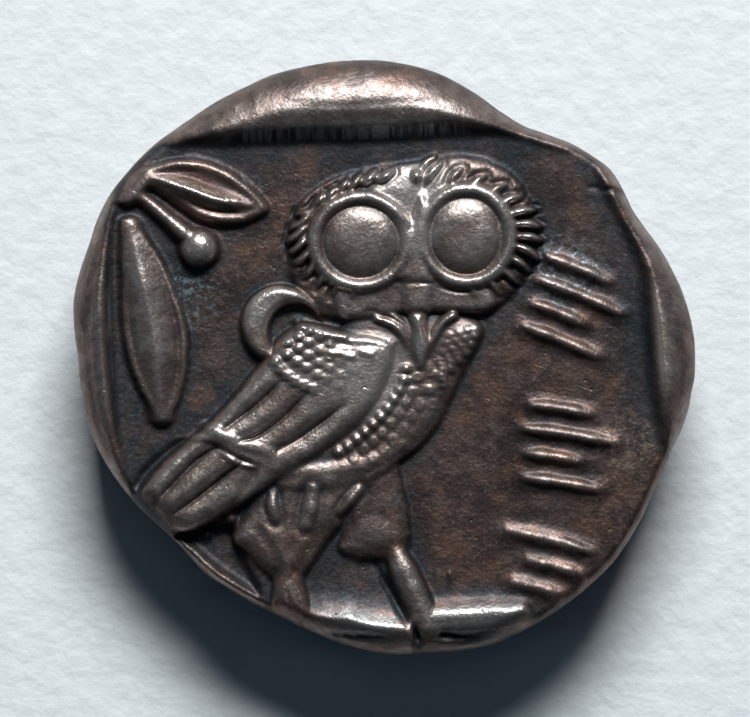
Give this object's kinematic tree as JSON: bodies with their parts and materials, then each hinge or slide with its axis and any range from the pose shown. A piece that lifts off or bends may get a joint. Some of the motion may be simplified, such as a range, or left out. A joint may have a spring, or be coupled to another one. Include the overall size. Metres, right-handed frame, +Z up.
{
  "type": "tetradrachm coin",
  "caption": "Thick hand-struck silver coin lying flat, with a standing owl and olive sprig in a sunk square above and a worn helmeted head below.",
  "frame": {"origin": "middle of the coin's box, on the surface it rests on", "axes": "+Z up out of the owl side, +X to the right as the owl is looked at upright (the coin's longest width), +Y towards the top of the owl's head"},
  "size_m": [0.025, 0.024, 0.0055],
  "materials": {
    "silver": "toned struck silver: dark brown in the sunk field, grey-brown and worn bright on the high relief and rim"
  },
  "bodies": {
    "root": {"coin": "silver"}
  },
  "joints": []
}
